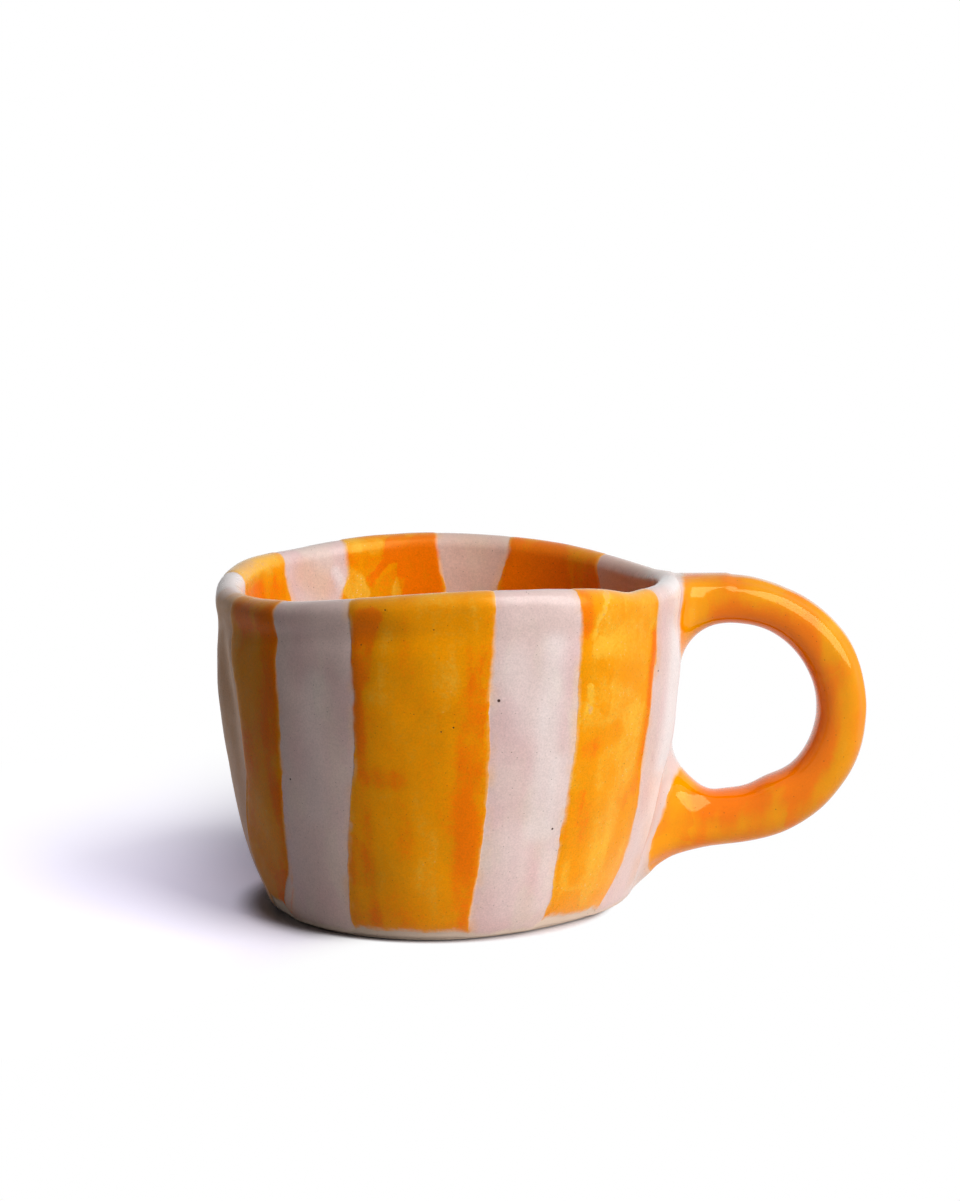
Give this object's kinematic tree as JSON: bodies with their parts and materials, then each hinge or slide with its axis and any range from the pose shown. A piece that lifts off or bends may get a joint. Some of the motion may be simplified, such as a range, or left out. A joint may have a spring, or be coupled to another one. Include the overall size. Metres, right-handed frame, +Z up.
{
  "type": "ceramic mug",
  "caption": "Handmade wide ceramic mug with a gently waving lip, a round coil ring handle and broad brushed vertical stripes of orange and pink glaze.",
  "frame": {"origin": "centre of the flat foot, on the table", "axes": "+Z up along the cup's axis, +X towards the handle, +Y away from the side with the wide orange stripe"},
  "size_m": [0.1488, 0.1064, 0.0797],
  "materials": {
    "bare_clay": "unglazed fired stoneware, matt",
    "orange_glaze": "brushed gloss glaze with darker laps",
    "pink_glaze": "pale grey pink gloss glaze with fine specks"
  },
  "bodies": {
    "root": {"base_slab": "bare_clay", "wall_slab": "bare_clay", "handle_coil": "bare_clay", "upper_handle_joint": "bare_clay", "lower_handle_joint": "bare_clay", "orange_stripe_1": "orange_glaze", "orange_stripe_2": "orange_glaze", "orange_stripe_3": "orange_glaze", "orange_stripe_4": "orange_glaze", "orange_stripe_5": "orange_glaze", "orange_stripe_6": "orange_glaze", "pink_stripe_1": "pink_glaze", "pink_stripe_2": "pink_glaze", "pink_stripe_3": "pink_glaze", "pink_stripe_4": "pink_glaze", "pink_stripe_5": "pink_glaze", "pink_stripe_6": "pink_glaze", "handle_glaze": "orange_glaze", "floor_glaze": "pink_glaze"}
  },
  "joints": []
}
